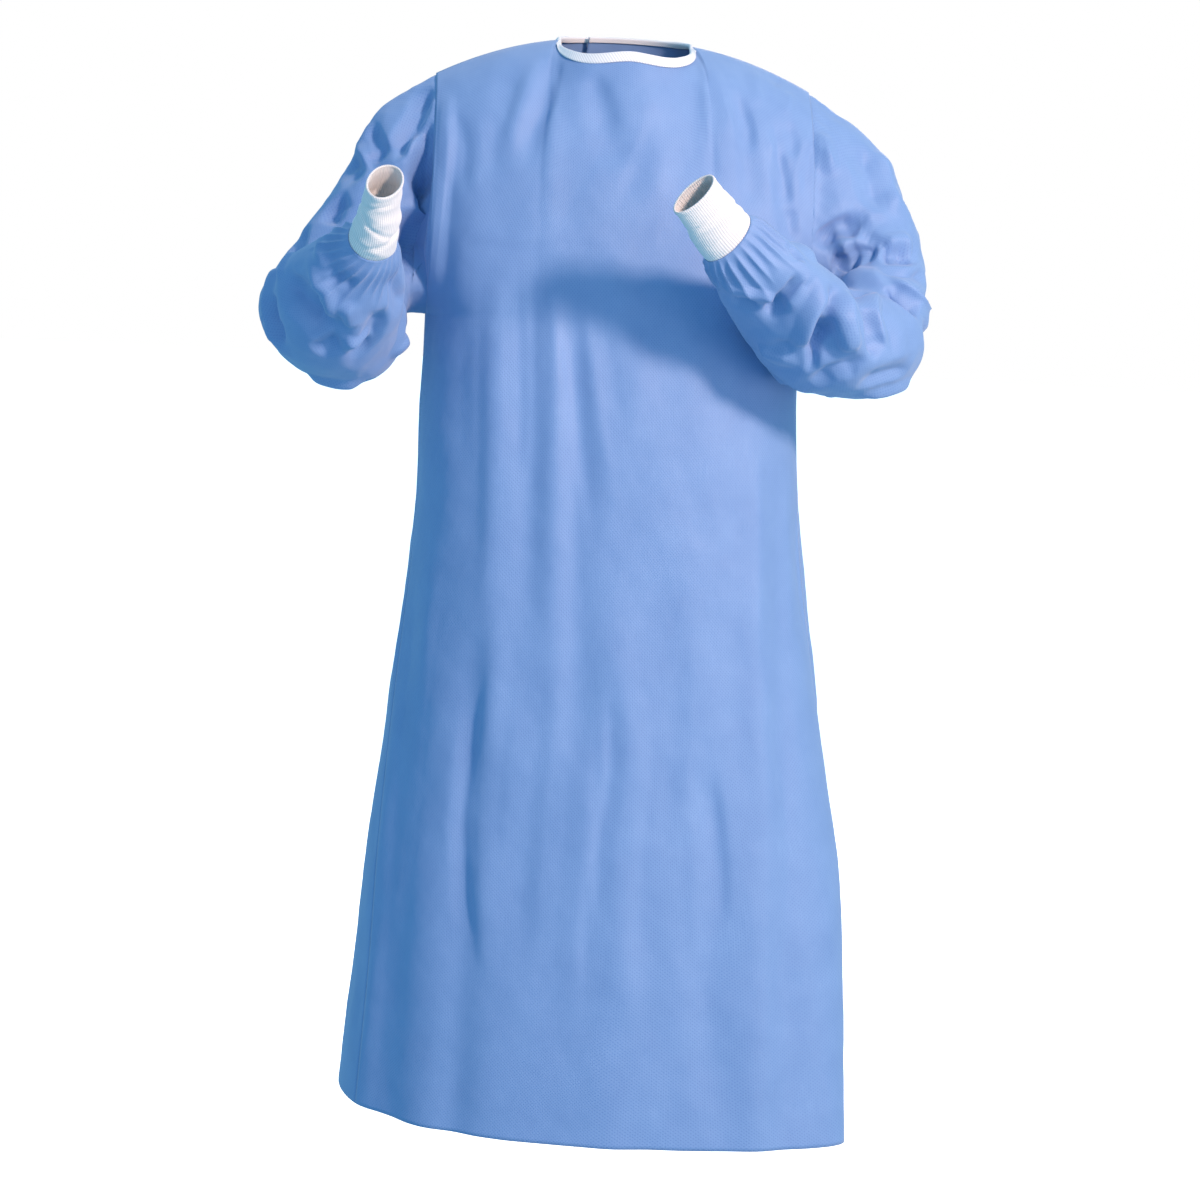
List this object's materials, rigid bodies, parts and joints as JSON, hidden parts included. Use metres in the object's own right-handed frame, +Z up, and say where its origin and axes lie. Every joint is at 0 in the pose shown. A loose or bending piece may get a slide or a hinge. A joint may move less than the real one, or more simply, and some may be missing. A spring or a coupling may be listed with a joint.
{
  "type": "surgical gown",
  "caption": "Worn surgical gown without a wearer: hollow blue non-woven body lapped at the back, bent set-in sleeves, white knit cuffs, taped round neck.",
  "frame": {"origin": "middle of the shoulder line, 10.5 mm below the neck's two side points, where the wearer's shoulders carry the gown", "axes": "+Z up, the front faces -Y, +X towards the wearer's left"},
  "size_m": [0.7072, 0.5087, 1.1803],
  "materials": {
    "nonwoven": "matt blue spunbond non-woven",
    "knit": "matt white ribbed knit",
    "tape": "matt white woven tape"
  },
  "bodies": {
    "root": {"front_panel": "nonwoven", "back_panel_right": "nonwoven", "back_panel_left": "nonwoven", "sleeve_right": "nonwoven", "sleeve_left": "nonwoven", "cuff_right": "knit", "cuff_left": "knit", "neck_binding": "tape", "neck_tab": "tape"}
  },
  "joints": []
}
